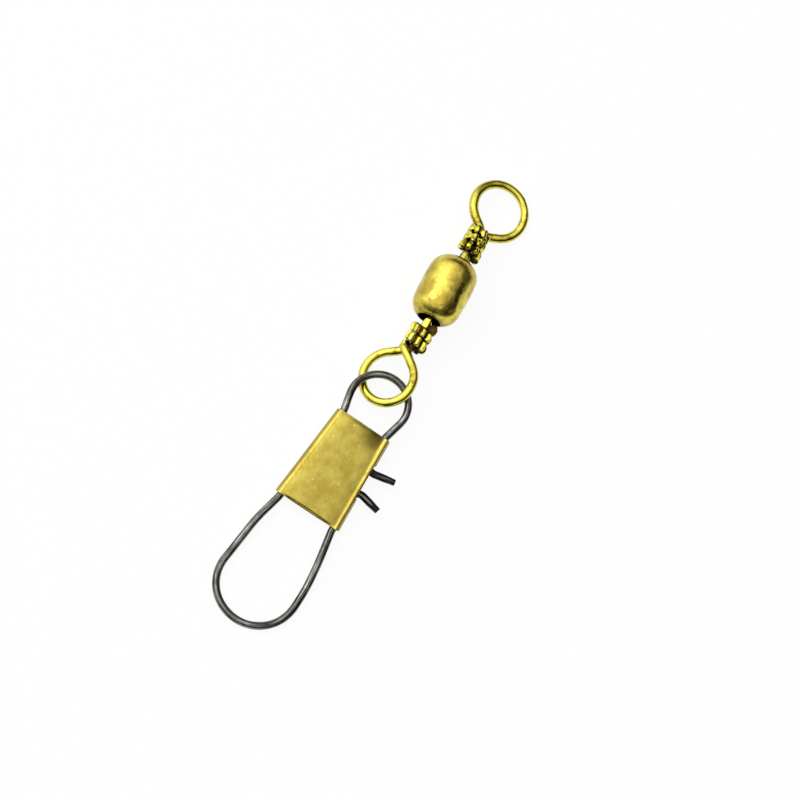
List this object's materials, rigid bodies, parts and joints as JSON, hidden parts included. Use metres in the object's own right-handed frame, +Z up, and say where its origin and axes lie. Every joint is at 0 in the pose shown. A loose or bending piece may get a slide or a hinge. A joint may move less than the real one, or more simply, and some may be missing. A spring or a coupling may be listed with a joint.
{
  "type": "snap swivel",
  "caption": "Small barrel swivel with wound wire eyes and an interlock wire snap closed by a folded plate, for joining a line to a lure.",
  "frame": {"origin": "on the floor, under the middle of the whole thing's box as it lies", "axes": "+X along the length from the snap's large loop to the line's eye, +Z up from the floor, the snap opens to -Y"},
  "size_m": [0.048, 0.0094, 0.0046],
  "materials": {
    "barrel_brass": "satin",
    "eye_brass": "polished",
    "snap_steel": "dark drawn wire",
    "plate_brass": "satin"
  },
  "bodies": {
    "barrel": {"barrel": "barrel_brass"},
    "line_eye": {"line_eye": "eye_brass"},
    "snap_eye": {"snap_eye": "eye_brass"},
    "snap": {"snap_wire": "snap_steel", "snap_plate": "plate_brass"}
  },
  "joints": [
    {"name": "line_eye_spin", "type": "hinge", "parent": "barrel", "child": "line_eye", "pos_m": [0.01481, 0.00125, 0.0023], "axis": [0.9825, 0.0515, -0.1788], "continuous": true},
    {"name": "snap_eye_spin", "type": "hinge", "parent": "barrel", "child": "snap_eye", "pos_m": [0.00851, 0.00093, 0.0023], "axis": [-0.9887, -0.0518, -0.1404], "continuous": true},
    {"name": "snap_swing", "type": "hinge", "parent": "snap_eye", "child": "snap", "pos_m": [-0.00026, 0.00056, 0.00126], "axis": [-0.0388, 0, 0.9992], "range_deg": [-60, 75]}
  ]
}
